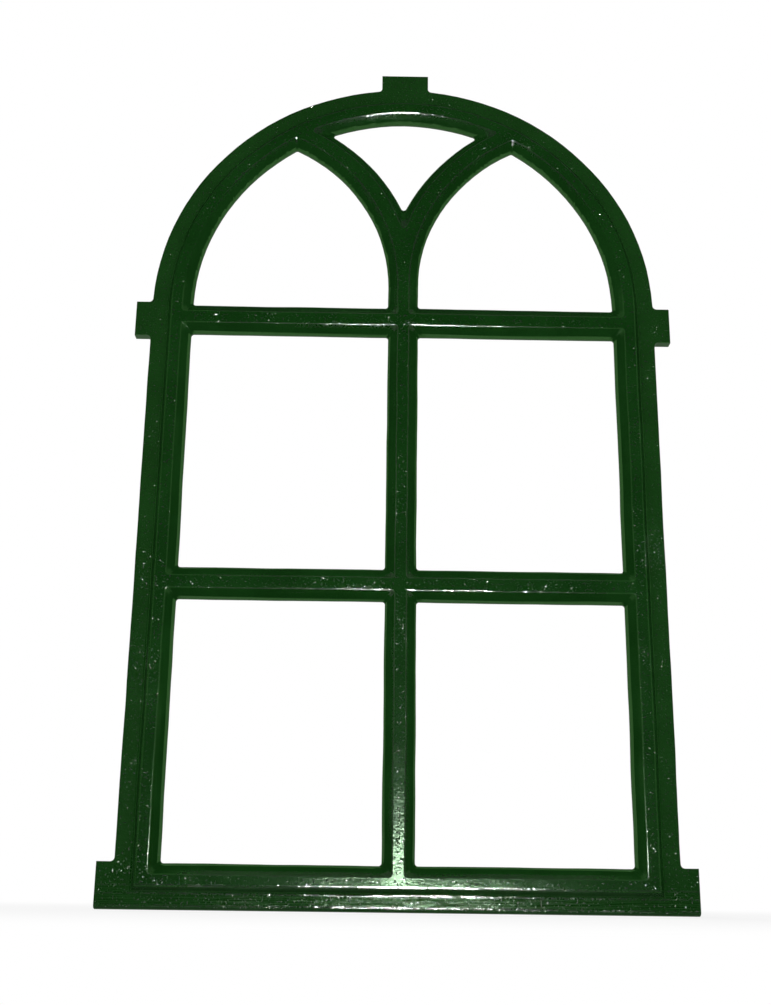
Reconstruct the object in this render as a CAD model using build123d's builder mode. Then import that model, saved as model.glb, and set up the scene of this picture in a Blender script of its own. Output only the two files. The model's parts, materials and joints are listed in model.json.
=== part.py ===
"""Cast-iron barn window: one arched casting with four rectangular lights and a traceried head.

The casting stands upright in the XZ plane. Its decorated front faces -Y and the side that
takes the glass faces +Y. The origin is the middle of the bottom face, and the ledges that
the panes rest against lie in the plane y = 0. All sizes are millimetres.
"""

import os
from functools import partial
from math import sqrt

from build123d import *

# Overall form
frame_width = 456
pane_height = 217

# Widths of the members, from edge to edge
member_width = 36.5
bottom_rail_width = 36
mullion_width = 27
transom_width = 28
tracery_width = 29.5

# The tracery bars curve off the mullion above the springing line of the arch
tracery_radius = 157.5
tracery_stilt = 21

# Thicknesses, from the glazing ledge forwards and backwards
flange_thickness = 10
glazing_depth = 5
moulding_height = 6
edge_thickness = 2.5

# Section of the mouldings
flange_band = 14
outer_slope_run = 4
inner_slope_run = 8.5
bevel_run = 2
bevel_rise = 3
ledge_width = 11

# Lugs that are built into the masonry
lug_reach = 14.5
side_lug_height = 33
foot_height = 37
top_lug_reach = 16
top_lug_width = 44

# Roundings of the casting
opening_corner_radius = 2.5
lug_root_radius = 3.5
lug_corner_radius = 1.2
crest_radius = 2
moulding_foot_radius = 2
arris_radius = 1.2
sill_arris_radius = 3.5

# How near a corner or an edge has to lie to the place where it is looked for
tolerance = 0.01

# Planes of the casting, as distances in front of the glazing ledge
back = -glazing_depth
flange_front = flange_thickness - glazing_depth
crest = flange_front + moulding_height

# Heights and widths that follow
lower_transom_bottom = bottom_rail_width + pane_height
upper_pane_bottom = lower_transom_bottom + transom_width
upper_transom_bottom = upper_pane_bottom + pane_height
springing = upper_transom_bottom + transom_width
arch_radius = frame_width / 2
opening_radius = arch_radius - member_width
pane_width = opening_radius - mullion_width / 2
pane_centre = (opening_radius + mullion_width / 2) / 2
tracery_centre = Vector(mullion_width / 2 + tracery_radius, springing + tracery_stilt)
arch_centre = Vector(0, springing)
arch_foot_left = (-arch_radius, springing)
arch_foot_right = (arch_radius, springing)
arch_top = springing + arch_radius
top_lug_top = arch_top + top_lug_reach
side_lug_centre = upper_transom_bottom + transom_width / 2
lug_span = frame_width + 2 * lug_reach


def crossing(centre_a, radius_a, centre_b, radius_b):
    """Give the upper point where two circles cross."""
    gap = centre_b - centre_a
    along = (radius_a**2 - radius_b**2 + gap.length**2) / (2 * gap.length)
    across = sqrt(radius_a**2 - along**2)
    unit = gap.normalized()
    side = Vector(-unit.Y, unit.X)
    points = [centre_a + unit * along + side * across, centre_a + unit * along - side * across]
    return max(points, key=lambda point: point.Y)


def is_lug_tip(vertex):
    """Outer corners of the lugs and the upper corners of the feet."""
    at_side = abs(abs(vertex.X) - lug_span / 2) < tolerance and vertex.Y > tolerance
    at_top = abs(vertex.Y - top_lug_top) < tolerance
    return at_side or at_top


def is_lug_root(vertex):
    """Inner corners, where a lug or a foot leaves the frame."""
    beside_foot = abs(vertex.Y - foot_height) < tolerance
    beside_side_lug = abs(abs(vertex.Y - side_lug_centre) - side_lug_height / 2) < tolerance
    beside_top_lug = abs(abs(vertex.X) - top_lug_width / 2) < tolerance
    return (beside_foot or beside_side_lug or beside_top_lug) and not is_lug_tip(vertex)


def lies_on(outline):
    """Give a test for the edges of the casting that follow an outline."""
    return lambda edge: outline.distance_to(edge @ 0.5) < tolerance


def arched_shape(inset, forward):
    """Outline of the frame, drawn in from its outer edge by inset."""
    half = arch_radius - inset
    with BuildSketch(Plane.XZ.offset(forward)) as shape:
        with BuildLine():
            Polyline((-half, springing), (-half, inset), (half, inset), (half, springing))
            ThreePointArc((half, springing), (0, springing + half), (-half, springing))
        make_face()
    return shape.sketch


def pane_shape(side, bottom, grow, forward):
    """Outline of a rectangular light, grown outwards all round by grow."""
    with BuildSketch(Plane.XZ.offset(forward)) as shape:
        with Locations((side * pane_centre, bottom + pane_height / 2)):
            Rectangle(pane_width + 2 * grow, pane_height + 2 * grow)
        fillet(shape.vertices(), opening_corner_radius)
    return shape.sketch


def pointed_shape(side, grow, forward):
    """Outline of a pointed light beside the mullion, grown outwards by grow."""
    outer_radius = opening_radius + grow
    inner_radius = tracery_radius + grow
    inner_edge = mullion_width / 2 - grow
    bottom = springing - grow
    outer_foot = Vector(sqrt(outer_radius**2 - grow**2), bottom)
    apex = crossing(arch_centre, outer_radius, tracery_centre, inner_radius)
    with BuildSketch(Plane.XZ.offset(forward)) as shape:
        with BuildLine():
            Polyline(outer_foot, (inner_edge, bottom), (inner_edge, tracery_centre.Y))
            RadiusArc((inner_edge, tracery_centre.Y), apex, inner_radius)
            RadiusArc(apex, outer_foot, outer_radius)
        make_face()
        corners = shape.vertices().filter_by(lambda v: abs(v.Y - tracery_centre.Y) > tolerance)
        fillet(corners, opening_corner_radius)
        if side < 0:
            mirror(about=Plane.YZ, mode=Mode.REPLACE)
    return shape.sketch


def crown_shape(grow, forward):
    """Outline of the three-sided light at the crown, grown outwards by grow."""
    head_radius = opening_radius + grow
    side_radius = tracery_radius + tracery_width - grow
    corner = crossing(arch_centre, head_radius, tracery_centre, side_radius)
    foot = Vector(0, tracery_centre.Y + sqrt(side_radius**2 - tracery_centre.X**2))
    opposite = Vector(-corner.X, corner.Y)
    with BuildSketch(Plane.XZ.offset(forward)) as shape:
        with BuildLine():
            RadiusArc(opposite, corner, head_radius)
            RadiusArc(foot, corner, side_radius)
            RadiusArc(opposite, foot, side_radius)
        make_face()
        fillet(shape.vertices(), opening_corner_radius)
    return shape.sketch


# Each light is an outline that can be grown by a distance and set in any plane
lights = [crown_shape]
for side in (-1, 1):
    lights.append(partial(pointed_shape, side))
    for bottom in (bottom_rail_width, upper_pane_bottom):
        lights.append(partial(pane_shape, side, bottom))

with BuildPart() as window_frame:
    # Flange with its lugs and feet
    with BuildSketch(Plane.XZ.offset(back)) as flange:
        with BuildLine():
            Polyline(arch_foot_left, (-arch_radius, 0), (arch_radius, 0), arch_foot_right)
            ThreePointArc(arch_foot_right, (0, arch_top), arch_foot_left)
        make_face()
        with Locations((0, foot_height / 2)):
            Rectangle(lug_span, foot_height)
        with Locations((0, side_lug_centre)):
            Rectangle(lug_span, side_lug_height)
        with Locations((0, top_lug_top)):
            Rectangle(top_lug_width, top_lug_top - springing, align=(Align.CENTER, Align.MAX))
        tips = flange.vertices().filter_by(is_lug_tip)
        roots = flange.vertices().filter_by(is_lug_root)
        fillet(roots, lug_root_radius)
        fillet(tips, lug_corner_radius)
    extrude(amount=flange_thickness)
    front_outline = window_frame.faces().sort_by(Axis.Y)[0].outer_wire()

    # Raised moulding round the frame, which the bars share
    moulding_foot = arched_shape(flange_band, flange_front)
    moulding_top = arched_shape(flange_band + outer_slope_run, crest)
    loft([moulding_foot, moulding_top], ruled=True)
    fillet(window_frame.edges().filter_by(lies_on(moulding_foot.wire())), moulding_foot_radius)

    # Lights: a glazing rebate behind, a narrow edge, and a sloped moulding in front
    for light in lights:
        extrude(light(ledge_width, back), amount=glazing_depth, mode=Mode.SUBTRACT)
        extrude(light(0, 0), amount=edge_thickness, mode=Mode.SUBTRACT)
        bevel_foot = light(0, edge_thickness)
        bevel_top = light(bevel_run, edge_thickness + bevel_rise)
        slope_top = light(inner_slope_run, crest)
        loft([bevel_foot, bevel_top], ruled=True, mode=Mode.SUBTRACT)
        loft([bevel_top, slope_top], ruled=True, mode=Mode.SUBTRACT)

    # Soft edges, as the sand mould leaves them
    fillet(window_frame.edges().group_by(Axis.Y)[0], crest_radius)
    sill_arris = window_frame.edges().filter_by(lies_on(front_outline)).sort_by(Axis.Z)[0]
    fillet(sill_arris, sill_arris_radius)
    fillet(window_frame.edges().filter_by(lies_on(front_outline)), arris_radius)

window_frame.part.label = "window_frame"

os.makedirs("parts", exist_ok=True)
export_step(window_frame.part, "parts/window_frame.step")
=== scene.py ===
"""Painted finish of an arched cast-iron barn window, in a plain pale studio.

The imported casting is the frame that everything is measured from. Lengths are metres, the
decorated front faces -Y and the window stands on its sill face at z = 0.
"""

import json
import math

import bpy
from bpy.props import FloatProperty, FloatVectorProperty, PointerProperty
from mathutils import Matrix, Vector


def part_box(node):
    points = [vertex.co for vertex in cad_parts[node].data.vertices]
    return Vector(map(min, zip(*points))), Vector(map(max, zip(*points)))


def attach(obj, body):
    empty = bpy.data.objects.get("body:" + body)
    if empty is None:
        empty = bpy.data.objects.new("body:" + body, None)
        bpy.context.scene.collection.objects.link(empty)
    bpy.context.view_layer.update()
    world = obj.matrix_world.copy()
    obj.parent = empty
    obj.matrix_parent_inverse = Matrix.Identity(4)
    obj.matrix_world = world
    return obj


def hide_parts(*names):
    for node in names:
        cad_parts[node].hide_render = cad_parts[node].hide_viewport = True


bl_info = {
    "name": "Arched barn window",
    "version": (1, 0, 0),
    "blender": (4, 5, 0),
    "location": "3D View > Sidebar > Barn Window",
    "description": "Builds the painted casting of an arched barn window and a studio for it",
    "category": "Object",
}

MM = 0.001

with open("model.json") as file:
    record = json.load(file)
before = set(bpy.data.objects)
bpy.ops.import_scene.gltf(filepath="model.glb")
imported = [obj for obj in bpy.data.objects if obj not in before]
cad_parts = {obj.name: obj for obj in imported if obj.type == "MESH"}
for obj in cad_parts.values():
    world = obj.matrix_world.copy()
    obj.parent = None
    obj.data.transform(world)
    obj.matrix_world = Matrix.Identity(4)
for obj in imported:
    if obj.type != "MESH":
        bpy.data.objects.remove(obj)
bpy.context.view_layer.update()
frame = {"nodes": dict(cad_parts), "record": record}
CASTING_NODE = "window_frame"
LOW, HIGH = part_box(CASTING_NODE)

# How far the front of the flange lies in front of the glazing plane
FLANGE_FRONT = 5 * MM

# Heights on the casting: both crests of the bottom rail, a level just above that rail, and
# the springing line of the arch
RAIL_CREST_LOW = 18 * MM
RAIL_CREST_HIGH = 27.5 * MM
RAIL_TOP = 40 * MM
SPRINGING = 526 * MM

# Distances from the middle over which the lean of the bottom rail sets in and ends
LEAN_SETS_IN = (5 * MM, 14 * MM)
LEAN_ENDS = (175 * MM, 192 * MM)

# Corners of the CAD mesh that lie closer together than this become one
WELD_DISTANCE = 0.001 * MM

# Heights at which the enamel gathers along the bottom rail: arris, foot and lower crest
RAIL_BEADS = (3.6 * MM, 12.8 * MM, 19.2 * MM)

# Each pair below is the value at which a mask of the enamel is 0 and the one at which it is 1.
# Depths are places along Y and start from the foremost face of the casting. Facing is the Y
# of the surface normal, which is -1 where the surface faces the front.
CREST_DEPTH = (LOW.y + 3.5 * MM, LOW.y + 2.5 * MM)
FLANGE_DEPTH = (LOW.y + 3 * MM, LOW.y + 5 * MM)
EDGE_DEPTH = (LOW.y + 4.5 * MM, LOW.y + 5.5 * MM)
CREST_FACING = ((-0.9992, -0.994), (-0.78, -0.83))
EDGE_FACING = ((-0.7, -0.6), (0.6, 0.3))
SIDE_FACING = ((-0.65, -0.5), (0.65, 0.5))
RUN_FACING = (-0.6, -0.7)
FLANGE_FACING = (-0.85, -0.95)
FLAT_FACING = (-0.88, -0.95)
STREAKED_HEIGHT = (20 * MM, 14 * MM)
STRAIGHT_HEIGHT = (SPRINGING + 30 * MM, SPRINGING + 5 * MM)

# The same for the noise from which grit, drops and brushed patches are made
GRIT_NOISE = (0.65, 0.8)
DROP_NOISE = (0.38, 0.52)
CLOUD_NOISE = (0.35, 0.65)

# Distances from the middle over which the beads thin out from those of the bars to those
# of the jambs
JAMB_SIDE = (150 * MM, 185 * MM)

# How full a bead stays between its drops, and the scale that draws the streaks out along X
DROP_GAP = 0.25
STREAK_SCALE = (0.04, 1, 1)

WHITE = (1, 1, 1, 1)
FLOOR_COLOUR = (0.9, 0.9, 0.9, 1)

# The floor fades into the background over these distances from the window, and reaches
# twice as far to the sides. FADE_LEAST is its share of white beside the window.
FADE_SCALE = (0.5, 1, 1)
FADE_REACH = (100 * MM, 500 * MM)
FADE_LEAST = 0.8

# What the gloss reflects: the floor turns bright over these places along Y, and the room
# turns bright where a reflected ray points this far along Y
FLOOR_TURN = (-13 * MM, -7 * MM)
FLOOR_LEVEL = 0.5
ROOM_TURN = (0.75, 1.0)
BACKDROP_LEVEL = 0.6

# Nearest distance at which the camera still sees
CLIP_START = 10 * MM

# Name and place of each soft lamp, and its share of their power
SOFT_LAMPS = (
    ("soft_front", (0.0, -1.3, 0.1), 1.5),
    ("soft_left", (-1.9, -1.3, 1.6), 0.8),
    ("soft_right", (1.9, -1.3, 1.2), 0.8),
    ("soft_back", (-0.8, 1.9, 1.4), 2.0),
)


def enamel(red, green, blue):
    """Linear colour of a paint chip that is given in 8-bit sRGB."""
    chip = [value / 255 for value in (red, green, blue)]
    linear = [c / 12.92 if c <= 0.04045 else ((c + 0.055) / 1.055) ** 2.4 for c in chip]
    return (*linear, 1)


class CastingSettings(bpy.types.PropertyGroup):
    """Unevenness that a sand mould leaves in the casting."""

    cell: FloatProperty(
        name="Mesh cell",
        description="Spacing of the cuts that let the surface carry its waviness",
        default=7 * MM,
        unit="LENGTH",
    )
    wander: FloatProperty(
        name="Wander",
        description="Strength with which the edges stray from their straight lines",
        default=1.4 * MM,
        unit="LENGTH",
    )
    wander_length: FloatProperty(
        name="Wander length",
        description="Distance over which an edge strays and returns",
        default=70 * MM,
        unit="LENGTH",
    )
    dip: FloatProperty(
        name="Dip",
        description="How far the moulding may sink where the mould was rammed hard",
        default=0.7 * MM,
        unit="LENGTH",
    )
    dip_length: FloatProperty(
        name="Dip length",
        description="Distance from one dip of the moulding to the next",
        default=35 * MM,
        unit="LENGTH",
    )
    rail_lean: FloatProperty(
        name="Rail lean",
        description="How far the top of the bottom rail leans back at its upper edge",
        default=0.35 * MM,
        unit="LENGTH",
    )
    anchor_reach: FloatProperty(
        name="Anchor reach",
        description="Distance from a lug or foot within which the casting keeps its exact size",
        default=40 * MM,
        unit="LENGTH",
    )
    smooth_angle: FloatProperty(
        name="Smooth angle",
        description="Edges that are sharper than this stay crisp",
        default=math.radians(32),
        subtype="ANGLE",
    )


class PaintSettings(bpy.types.PropertyGroup):
    """Gloss enamel over the grain of the casting."""

    body_colour: FloatVectorProperty(
        name="Body colour",
        description="Deep green of the enamel where it lies full",
        default=enamel(14, 51, 13),
        size=4,
        subtype="COLOR",
    )
    thin_colour: FloatVectorProperty(
        name="Thin colour",
        description="Fresher green where the enamel was brushed out thin",
        default=enamel(18, 57, 17),
        size=4,
        subtype="COLOR",
    )
    # Painted light: the pale green below stands in for light on the edges, crests and flange, not
    # for a colour of the enamel
    painted_light_colour: FloatVectorProperty(
        name="Edge colour",
        description="Pale green where the enamel drew back from the edges of the lights",
        default=enamel(52, 92, 46),
        size=4,
        subtype="COLOR",
    )
    gloss_tint: FloatVectorProperty(
        name="Gloss tint",
        description="Tint of what the enamel reflects when it is seen straight on",
        default=(0.66, 1.0, 0.66, 1),
        size=4,
        subtype="COLOR",
    )
    cloud_length: FloatProperty(
        name="Cloud length",
        description="Size of the brushed patches of colour",
        default=45 * MM,
        unit="LENGTH",
    )
    lump_length: FloatProperty(
        name="Lump length",
        description="Size of the soft lumps that the sand leaves",
        default=14 * MM,
        unit="LENGTH",
    )
    lump_height: FloatProperty(
        name="Lump height",
        description="Height of the soft lumps",
        default=0.1 * MM,
        unit="LENGTH",
    )
    grain_length: FloatProperty(
        name="Grain length",
        description="Size of the sand grain under the enamel",
        default=1.8 * MM,
        unit="LENGTH",
    )
    grain_height: FloatProperty(
        name="Grain height",
        description="Height of the sand grain on the flange",
        default=0.13 * MM,
        unit="LENGTH",
    )
    grit_length: FloatProperty(
        name="Grit length",
        description="Size of the scattered grit in the enamel",
        default=1.7 * MM,
        unit="LENGTH",
    )
    grit_height: FloatProperty(
        name="Grit height",
        description="Height of the scattered grit",
        default=0.25 * MM,
        unit="LENGTH",
    )
    streak_length: FloatProperty(
        name="Streak length",
        description="Distance between the brush streaks along the sill flange",
        default=1.8 * MM,
        unit="LENGTH",
    )
    streak_height: FloatProperty(
        name="Streak height",
        description="Height of the brush streaks",
        default=0.8 * MM,
        unit="LENGTH",
    )
    bead_width: FloatProperty(
        name="Bead width",
        description="Half the width of the beads of enamel along the bottom rail",
        default=1.1 * MM,
        unit="LENGTH",
    )
    run_share: FloatProperty(
        name="Run share",
        description="How full the beads along the bottom rail are, beside those of the crests",
        default=0.35,
        min=0,
        max=1,
    )
    jamb_share: FloatProperty(
        name="Jamb share",
        description="How full the beads along the jambs are, beside those of the bars",
        default=0.05,
        min=0,
        max=1,
    )
    drop_length: FloatProperty(
        name="Drop length",
        description="Distance between the drops that make up a bead",
        default=2.0 * MM,
        unit="LENGTH",
    )
    fleck_share: FloatProperty(
        name="Fleck share",
        description="How bright the scattered grit glints on the flat faces of the front",
        default=1.0,
        min=0,
        max=1,
    )
    side_roughness: FloatProperty(
        name="Side roughness",
        description="Roughness on the sides of the lights, where the enamel drew back",
        default=0.45,
        min=0,
        max=1,
    )
    filled_share: FloatProperty(
        name="Filled share",
        description="Share of the grain that is left on the mouldings, where the enamel flowed out",
        default=0.85,
        min=0,
        max=1,
    )
    enamel_index: FloatProperty(
        name="Enamel index",
        description="Refractive index of the enamel",
        default=1.31,
    )
    bead_index: FloatProperty(
        name="Bead index",
        description="Refractive index of the beads of enamel, set high so that they glint",
        default=4.0,
    )
    bead_roughness: FloatProperty(
        name="Bead roughness",
        description="Roughness of the beads of enamel",
        default=0.075,
        min=0,
        max=1,
    )
    crest_share: FloatProperty(
        name="Crest share",
        description="Share of the grain that is left along the crests",
        default=1.0,
        min=0,
        max=1,
    )
    # Painted highlight: how far the crests are painted paler for the glint of light along them
    crest_highlight_share: FloatProperty(
        name="Crest wear",
        description="How far the colour of the crests turns to that of the edges",
        default=0.3,
        min=0,
        max=1,
    )
    # Painted light: how far the flange is painted paler for the sheen of the light on it
    flange_light_share: FloatProperty(
        name="Flange wear",
        description="How far the colour of the flange turns to that of the edges",
        default=0.1,
        min=0,
        max=1,
    )
    moulding_roughness: FloatProperty(
        name="Moulding roughness",
        description="Roughness on the mouldings, where the enamel flowed out",
        default=0.15,
        min=0,
        max=1,
    )
    flange_roughness: FloatProperty(
        name="Flange roughness",
        description="Roughness on the flange",
        default=0.11,
        min=0,
        max=1,
    )


class StudioSettings(bpy.types.PropertyGroup):
    """Camera, lights and floor."""

    lens: FloatProperty(
        name="Lens",
        description="Focal length on a 36 mm sensor",
        default=46.5,
    )
    camera_distance: FloatProperty(
        name="Camera distance",
        description="Distance of the camera in front of the glazing plane",
        default=1088 * MM,
        unit="LENGTH",
    )
    camera_height: FloatProperty(
        name="Camera height",
        description="Height of the camera above the sill face",
        default=19 * MM,
        unit="LENGTH",
    )
    camera_side: FloatProperty(
        name="Camera side",
        description="Place of the camera to the right of the middle",
        default=-20 * MM,
        unit="LENGTH",
    )
    look_up: FloatProperty(
        name="Look up",
        description="Angle by which the camera looks up",
        default=math.radians(16.54),
        subtype="ANGLE",
    )
    look_right: FloatProperty(
        name="Look right",
        description="Angle by which the camera looks to the right",
        default=math.radians(0.33),
        subtype="ANGLE",
    )
    roll: FloatProperty(
        name="Roll",
        description="Angle by which the camera leans to the left",
        default=math.radians(0.74),
        subtype="ANGLE",
    )
    sky_level: FloatProperty(
        name="Sky level",
        description="Strength of the even light from all round",
        default=0.45,
    )
    room_level: FloatProperty(
        name="Room level",
        description="How bright the room in front shows in the gloss",
        default=0.03,
    )
    soft_power: FloatProperty(
        name="Soft lamp power",
        description="Power that each large lamp takes its share of",
        default=7,
    )
    soft_size: FloatProperty(
        name="Soft lamp size",
        description="Length of a side of each large lamp",
        default=1,
        unit="LENGTH",
    )
    flash_power: FloatProperty(
        name="Flash power",
        description="Power of the low strip beside the camera that glints in the gloss",
        default=8.0,
    )
    flash_side: FloatProperty(
        name="Flash side",
        description="Place of the flash to the right of the middle",
        default=50 * MM,
        unit="LENGTH",
    )
    flash_height: FloatProperty(
        name="Flash height",
        description="Height of the flash above the floor",
        default=22 * MM,
        unit="LENGTH",
    )
    flash_width: FloatProperty(
        name="Flash width",
        description="Width of the flash",
        default=200 * MM,
        unit="LENGTH",
    )
    flash_band: FloatProperty(
        name="Flash band",
        description="Size of the flash from its lower to its upper edge",
        default=12 * MM,
        unit="LENGTH",
    )
    floor_size: FloatProperty(
        name="Floor size",
        description="Length of a side of the floor",
        default=40,
        unit="LENGTH",
    )


class NodeTree:
    """Adds nodes to a tree and links them by socket name."""

    def __init__(self, tree):
        self.tree = tree
        tree.nodes.clear()

    def add(self, kind, inputs=None, **settings):
        """Add a node, set its properties, then set or link each of its inputs."""
        node = self.tree.nodes.new(kind)
        for name, value in settings.items():
            setattr(node, name, value)
        for name, value in (inputs or {}).items():
            if isinstance(value, bpy.types.NodeSocket):
                self.tree.links.new(value, node.inputs[name])
            else:
                node.inputs[name].default_value = value
        return node


def only(piece):
    """Select one object alone and make it the active one."""
    bpy.ops.object.select_all(action="DESELECT")
    piece.select_set(True)
    bpy.context.view_layer.objects.active = piece


def noise(nodes, point, length, detail=2.0):
    """Noise whose features are about length across."""
    inputs = {"Vector": point, "Scale": 1 / length, "Detail": detail}
    return nodes.add("ShaderNodeTexNoise", inputs).outputs["Fac"]


def remap(nodes, value, low, high, to_low=0.0, to_high=1.0):
    """Turn from to_low to to_high smoothly as value goes from low to high, and hold beyond."""
    inputs = {
        "Value": value,
        "From Min": low,
        "From Max": high,
        "To Min": to_low,
        "To Max": to_high,
    }
    turned = nodes.add("ShaderNodeMapRange", inputs, interpolation_type="SMOOTHSTEP")
    return turned.outputs["Result"]


def combine(nodes, operation, *values):
    """Result of a Math node for one or two values."""
    return nodes.add("ShaderNodeMath", dict(enumerate(values)), operation=operation).outputs[0]


def multiply(nodes, one, other):
    """Product of two values."""
    return combine(nodes, "MULTIPLY", one, other)


def larger(nodes, one, other):
    """Larger of two values."""
    return combine(nodes, "MAXIMUM", one, other)


def scaled(nodes, point, scale):
    """Point whose coordinates are each multiplied by a scale of their own."""
    inputs = {0: point, 1: scale}
    return nodes.add("ShaderNodeVectorMath", inputs, operation="MULTIPLY").outputs["Vector"]


def band(nodes, value, middle, reach):
    """Rise from 0 to 1 and back, with the top where value is at the middle."""
    away = combine(nodes, "ABSOLUTE", combine(nodes, "SUBTRACT", value, middle))
    return remap(nodes, away, reach, reach / 2)


def between(nodes, value, rise, fall):
    """Product of two masks of a value, each given by where it is 0 and where it is 1."""
    return multiply(nodes, remap(nodes, value, *rise), remap(nodes, value, *fall))


def blend(nodes, share, one, other):
    """Colour that turns from one to the other as share rises from 0 to 1."""
    inputs = {0: share, 6: one, 7: other}
    return nodes.add("ShaderNodeMix", inputs, data_type="RGBA").outputs[2]


def bump(nodes, height, strength, distance, normal=None):
    """Normal that leans with the slopes of a height, on top of an earlier one."""
    inputs = {"Height": height, "Strength": strength, "Distance": distance}
    if normal is not None:
        inputs["Normal"] = normal
    return nodes.add("ShaderNodeBump", inputs).outputs["Normal"]


def green_enamel(paint):
    """Gloss green enamel on grainy cast iron, with painted light on the edges of the lights, the
    crests and the flange.
    """
    material = bpy.data.materials.new("green_enamel")
    material.use_nodes = True
    nodes = NodeTree(material.node_tree)
    texture = nodes.add("ShaderNodeTexCoord").outputs
    point = texture["Object"]
    place = nodes.add("ShaderNodeSeparateXYZ", {0: point}).outputs
    side = combine(nodes, "ABSOLUTE", place["X"])
    depth = place["Y"]
    height = place["Z"]
    facing = nodes.add("ShaderNodeSeparateXYZ", {0: texture["Normal"]}).outputs["Y"]

    clouds = noise(nodes, point, paint.cloud_length, detail=4)
    lumps = noise(nodes, point, paint.lump_length)
    grain = noise(nodes, point, paint.grain_length, detail=1)
    streaks = noise(nodes, scaled(nodes, point, STREAK_SCALE), paint.streak_length)
    scattered = noise(nodes, point, paint.grit_length, detail=0)
    grit = remap(nodes, scattered, *GRIT_NOISE)
    strung = noise(nodes, point, paint.drop_length, detail=0)
    drops = remap(nodes, strung, *DROP_NOISE, DROP_GAP, 1.0)

    # Parts of the casting: crests, flange, all flat faces, edges and sides of the lights
    turning = between(nodes, facing, *CREST_FACING)
    crest = multiply(nodes, turning, remap(nodes, depth, *CREST_DEPTH))
    level = remap(nodes, facing, *FLANGE_FACING)
    flange = multiply(nodes, remap(nodes, depth, *FLANGE_DEPTH), level)
    flat = remap(nodes, facing, *FLAT_FACING)
    # Edges of the lights, which are painted paler for the light of the white backdrop
    steep = between(nodes, facing, *EDGE_FACING)
    edge = multiply(nodes, steep, remap(nodes, depth, *EDGE_DEPTH))
    sides = between(nodes, facing, *SIDE_FACING)

    # Beads of enamel along the crests and the bottom rail, broken into drops, and flecks
    bead = multiply(nodes, crest, remap(nodes, side, *JAMB_SIDE, 1.0, paint.jamb_share))
    full_run = multiply(nodes, remap(nodes, facing, *RUN_FACING), paint.run_share)
    for middle in RAIL_BEADS:
        run = multiply(nodes, band(nodes, height, middle, paint.bead_width), full_run)
        bead = larger(nodes, bead, run)
    flecks = multiply(nodes, grit, multiply(nodes, flat, paint.fleck_share))
    bead = larger(nodes, multiply(nodes, bead, drops), flecks)

    # Colour, made paler by painted light: the light of the white backdrop on the edges of the
    # lights, a painted highlight along the straight crests and a painted sheen on the flange
    brushed = remap(nodes, clouds, *CLOUD_NOISE)
    full = blend(nodes, brushed, paint.body_colour[:], paint.thin_colour[:])
    # Painted highlight along the straight crests below the arch
    straight = multiply(nodes, crest, remap(nodes, height, *STRAIGHT_HEIGHT))
    highlight_on_crests = multiply(nodes, straight, paint.crest_highlight_share)
    # Painted sheen: the flange turns paler for the light on it
    thin = multiply(nodes, flange, paint.flange_light_share)
    painted_light_share = larger(nodes, edge, larger(nodes, highlight_on_crests, thin))
    colour = blend(nodes, painted_light_share, full, paint.painted_light_colour[:])

    # Roughness, and the relief of lumps, grain, streaks and grit
    gloss = remap(nodes, flange, 0, 1, paint.moulding_roughness, paint.flange_roughness)
    roughness = larger(nodes, gloss, multiply(nodes, sides, paint.side_roughness))
    along_crest = remap(nodes, crest, 0, 1, paint.filled_share, paint.crest_share)
    grained = larger(nodes, flange, along_crest)
    streaked = multiply(nodes, flange, remap(nodes, height, *STREAKED_HEIGHT))
    normal = bump(nodes, lumps, 1.0, paint.lump_height)
    normal = bump(nodes, grain, grained, paint.grain_height, normal)
    normal = bump(nodes, streaks, streaked, paint.streak_height, normal)
    normal = bump(nodes, grit, flat, paint.grit_height, normal)

    shader = nodes.add(
        "ShaderNodeBsdfPrincipled",
        {
            "Base Color": colour,
            "Roughness": roughness,
            "Normal": normal,
            "IOR": paint.enamel_index,
            "Specular Tint": paint.gloss_tint[:],
            "Coat Weight": bead,
            "Coat Roughness": paint.bead_roughness,
            "Coat IOR": paint.bead_index,
            "Coat Normal": normal,
        },
    )
    nodes.add("ShaderNodeOutputMaterial", {"Surface": shader.outputs["BSDF"]})
    return material


def pale_floor(studio):
    """Pale floor that keeps its shadow near the window and fades into the background."""
    material = bpy.data.materials.new("pale_floor")
    material.use_nodes = True
    nodes = NodeTree(material.node_tree)
    path = nodes.add("ShaderNodeLightPath").outputs
    glossy = path["Is Glossy Ray"]
    point = nodes.add("ShaderNodeTexCoord").outputs["Object"]
    depth = nodes.add("ShaderNodeSeparateXYZ", {0: point}).outputs["Y"]
    inputs = {0: scaled(nodes, point, FADE_SCALE)}
    reach = nodes.add("ShaderNodeVectorMath", inputs, operation="LENGTH").outputs["Value"]
    fade = remap(nodes, reach, *FADE_REACH, FADE_LEAST, 1.0)
    behind = remap(nodes, depth, *FLOOR_TURN, studio.room_level, FLOOR_LEVEL)
    clear = larger(nodes, path["Is Camera Ray"], path["Is Transmission Ray"])
    cover = larger(nodes, multiply(nodes, clear, fade), glossy)
    inputs = {0: glossy, 2: 1.0, 3: behind}
    level = nodes.add("ShaderNodeMix", inputs, data_type="FLOAT").outputs[0]
    plaster = nodes.add("ShaderNodeBsdfDiffuse", {"Color": FLOOR_COLOUR}).outputs[0]
    glow = nodes.add("ShaderNodeEmission", {"Color": WHITE, "Strength": level}).outputs[0]
    mixed = nodes.add("ShaderNodeMixShader", {0: cover, 1: plaster, 2: glow}).outputs[0]
    nodes.add("ShaderNodeOutputMaterial", {"Surface": mixed})
    return material


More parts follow.
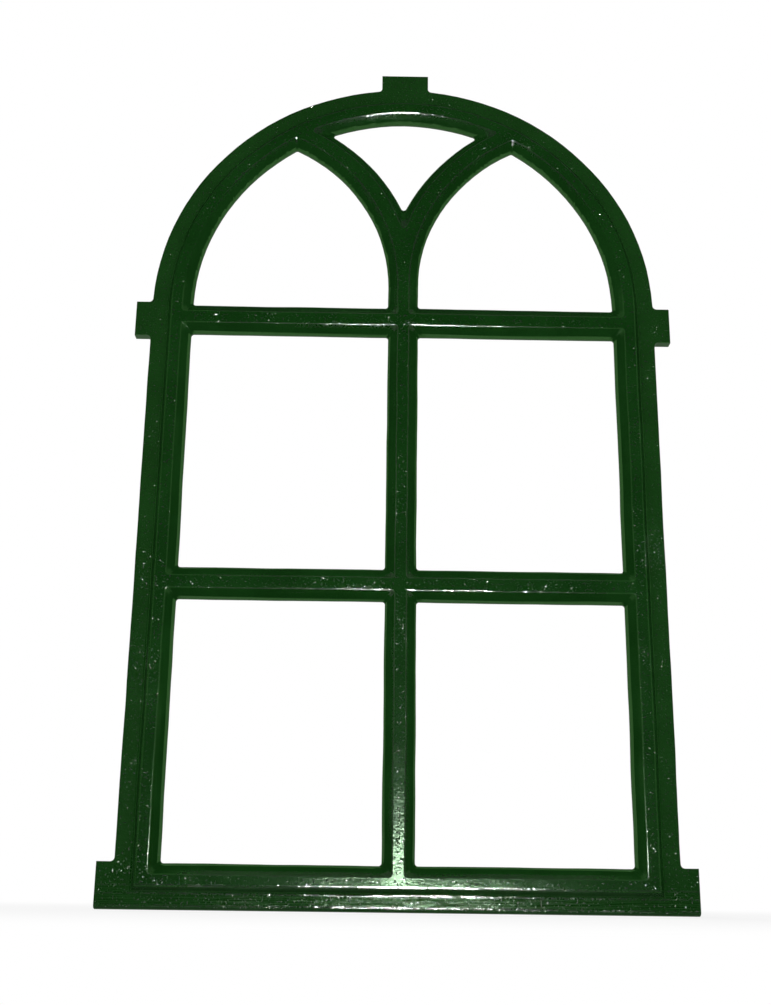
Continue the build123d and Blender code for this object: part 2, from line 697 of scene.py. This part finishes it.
def white_world(studio):
    """White to the camera, even sky light, and a dark room with a pale end in the gloss."""
    world = bpy.data.worlds.new("white_studio")
    bpy.context.scene.world = world
    world.use_nodes = True
    nodes = NodeTree(world.node_tree)
    path = nodes.add("ShaderNodeLightPath").outputs
    glossy = path["Is Glossy Ray"]
    direction = nodes.add("ShaderNodeTexCoord").outputs["Generated"]
    forward = nodes.add("ShaderNodeSeparateXYZ", {0: direction}).outputs["Y"]
    behind = remap(nodes, forward, *ROOM_TURN, studio.room_level, BACKDROP_LEVEL)
    clear = larger(nodes, path["Is Camera Ray"], path["Is Transmission Ray"])
    seen = larger(nodes, clear, multiply(nodes, glossy, behind))
    other = combine(nodes, "SUBTRACT", 1.0, larger(nodes, clear, glossy))
    strength = combine(nodes, "ADD", seen, multiply(nodes, other, studio.sky_level))
    sky = nodes.add("ShaderNodeBackground", {"Color": WHITE, "Strength": strength}).outputs[0]
    nodes.add("ShaderNodeOutputWorld", {"Surface": sky})


def lamp(name, place, power, size, aim):
    """Add a square lamp that is turned to a point."""
    light = bpy.data.lights.new(name, "AREA")
    light.energy = power
    light.size = size
    holder = bpy.data.objects.new(name, light)
    bpy.context.scene.collection.objects.link(holder)
    holder.location = place
    holder.rotation_euler = (Vector(place) - Vector(aim)).to_track_quat("Z", "Y").to_euler()
    return holder


def ease(value, low, high):
    """Rise smoothly from 0 at low to 1 at high."""
    share = min(max((value - low) / (high - low), 0), 1)
    return share * share * (3 - 2 * share)


def merged_copy(node, name):
    """Copy the mesh of a CAD node into a piece of its own, with its loose triangles joined."""
    piece = bpy.data.objects.new(name, node.data.copy())
    bpy.context.scene.collection.objects.link(piece)
    only(piece)
    bpy.ops.mesh.customdata_custom_splitnormals_clear()
    bpy.ops.object.mode_set(mode="EDIT")
    bpy.ops.mesh.select_all(action="SELECT")
    bpy.ops.mesh.remove_doubles(threshold=WELD_DISTANCE)
    bpy.ops.object.mode_set(mode="OBJECT")
    return piece


def cut_into_cells(cell):
    """Cut the active piece along a square grid in the plane of the window."""
    bpy.ops.object.mode_set(mode="EDIT")
    for axis in (0, 2):
        span = HIGH[axis] - LOW[axis]
        cells = math.ceil(span / cell)
        normal = Vector((0, 0, 0))
        normal[axis] = 1
        for step in range(1, cells):
            cut = LOW + normal * span * step / cells
            bpy.ops.mesh.select_all(action="SELECT")
            bpy.ops.mesh.bisect(plane_co=cut, plane_no=normal)
    bpy.ops.object.mode_set(mode="OBJECT")


def weigh(piece, name, share_at):
    """Make a vertex group whose weight at each point is given by a function."""
    group = piece.vertex_groups.new(name=name)
    for vertex in piece.data.vertices:
        share = share_at(vertex.co)
        if share > 0:
            group.add([vertex.index], share, "REPLACE")


def displace(piece, group, axis, strength, length=None, basis="BLENDER_ORIGINAL", middle=0.5):
    """Push the active piece along an axis, by clouds of a given length or else evenly."""
    push = piece.modifiers.new(group, "DISPLACE")
    push.vertex_group = group
    push.direction = axis
    push.strength = strength
    push.mid_level = middle
    push.texture_coords = "LOCAL"
    if length:
        push.texture = bpy.data.textures.new(f"{group}_{axis.lower()}", "CLOUDS")
        push.texture.noise_scale = length
        push.texture.noise_basis = basis
    bpy.ops.object.modifier_apply(modifier=push.name)


class WINDOW_OT_casting(bpy.types.Operator):
    """Make the casting slightly uneven, as the sand mould left it, and enamel it"""

    bl_idname = "barn_window.casting"
    bl_label = "Arched casting"

    def execute(self, context):
        casting = context.scene.window_casting
        piece = merged_copy(frame["nodes"][CASTING_NODE], "arched_casting")
        cut_into_cells(casting.cell)

        faces = {mount["name"]: Vector(mount["pos_m"]) for mount in frame["record"]["mounts"]}
        anchors = [faces["top_lug_face"], faces["left_lug_face"], faces["right_lug_face"]]
        anchors += [Vector((face.x, 0, LOW.z)) for face in anchors[1:]]
        reach = casting.anchor_reach

        # The casting is free to stray away from its lugs and feet and above its lower edge
        def free(point):
            near = min((point - anchor).length for anchor in anchors)
            return ease(near, reach, 1.5 * reach) * ease(point.z, LOW.z, LOW.z + reach / 2)

        def moulding(point):
            return ease(-point.y, FLANGE_FRONT, -LOW.y)

        def rail(point):
            side = abs(point.x)
            height = ease(point.z, RAIL_CREST_LOW, RAIL_CREST_HIGH) * (point.z < RAIL_TOP)
            across = ease(side, *LEAN_SETS_IN) * (1 - ease(side, *LEAN_ENDS))
            return height * across * moulding(point)

        weigh(piece, "free", free)
        weigh(piece, "moulding", moulding)
        weigh(piece, "rail", rail)
        displace(piece, "free", "X", casting.wander, casting.wander_length)
        displace(piece, "free", "Z", casting.wander, casting.wander_length, "IMPROVED_PERLIN")
        displace(piece, "moulding", "Y", casting.dip, casting.dip_length, "ORIGINAL_PERLIN", 0)
        displace(piece, "rail", "Y", casting.rail_lean, middle=0)
        piece.vertex_groups.clear()

        bpy.ops.object.shade_smooth_by_angle(angle=casting.smooth_angle)
        weighted = piece.modifiers.new("crisp_flats", "WEIGHTED_NORMAL")
        weighted.keep_sharp = True
        bpy.ops.object.modifier_apply(modifier=weighted.name)
        piece.data.materials.clear()
        piece.data.materials.append(green_enamel(context.scene.window_paint))
        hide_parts(CASTING_NODE)
        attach(piece, "root")
        return {"FINISHED"}


class WINDOW_OT_studio(bpy.types.Operator):
    """Set up the floor, the lights and the camera"""

    bl_idname = "barn_window.studio"
    bl_label = "Studio"

    def execute(self, context):
        studio = context.scene.window_studio
        white_world(studio)

        bpy.ops.mesh.primitive_plane_add(size=studio.floor_size, location=(0, 0, LOW.z))
        floor = context.active_object
        floor.name = "floor"
        floor.data.materials.append(pale_floor(studio))

        middle = (LOW + HIGH) / 2
        for name, place, share in SOFT_LAMPS:
            soft = lamp(name, place, share * studio.soft_power, studio.soft_size, middle)
            soft.visible_glossy = False
        flash_place = (studio.flash_side, -studio.camera_distance, studio.flash_height)
        flash_aim = (0, 0, studio.flash_height)
        flash = lamp("flash", flash_place, studio.flash_power, studio.flash_width, flash_aim)
        flash.data.shape = "RECTANGLE"
        flash.data.size_y = studio.flash_band
        flash.visible_diffuse = False

        lens = bpy.data.cameras.new("camera")
        lens.lens = studio.lens
        lens.clip_start = CLIP_START
        camera = bpy.data.objects.new("camera", lens)
        context.scene.collection.objects.link(camera)
        turn = Matrix.Rotation(-studio.look_right, 4, "Z")
        tilt = Matrix.Rotation(math.pi / 2 + studio.look_up, 4, "X")
        lean = Matrix.Rotation(studio.roll, 4, "Z")
        place = Matrix.Translation(
            (studio.camera_side, -studio.camera_distance, studio.camera_height)
        )
        camera.matrix_world = place @ turn @ tilt @ lean
        context.scene.camera = camera
        context.scene.view_settings.view_transform = "Standard"
        return {"FINISHED"}


class WINDOW_PT_panel(bpy.types.Panel):
    """Sizes, colours and lights of the barn window."""

    bl_idname = "WINDOW_PT_panel"
    bl_label = "Barn Window"
    bl_space_type = "VIEW_3D"
    bl_region_type = "UI"
    bl_category = "Barn Window"

    def draw(self, context):
        layout = self.layout
        for operator, groups in STEPS:
            layout.operator(operator.bl_idname)
            for group in groups:
                settings = getattr(context.scene, group)
                for name in settings.__annotations__:
                    layout.prop(settings, name)


# Each operator with the groups of settings that it reads
STEPS = (
    (WINDOW_OT_casting, ("window_casting", "window_paint")),
    (WINDOW_OT_studio, ("window_studio",)),
)
GROUPS = {
    "window_casting": CastingSettings,
    "window_paint": PaintSettings,
    "window_studio": StudioSettings,
}
CLASSES = (*GROUPS.values(), WINDOW_OT_casting, WINDOW_OT_studio, WINDOW_PT_panel)


def register():
    for cls in CLASSES:
        bpy.utils.register_class(cls)
    for name, group in GROUPS.items():
        setattr(bpy.types.Scene, name, PointerProperty(type=group))


def unregister():
    for name in GROUPS:
        delattr(bpy.types.Scene, name)
    for cls in reversed(CLASSES):
        bpy.utils.unregister_class(cls)


def main():
    """Build everything in order."""
    register()
    bpy.ops.barn_window.casting()
    bpy.ops.barn_window.studio()


if __name__ == "__main__":
    main()
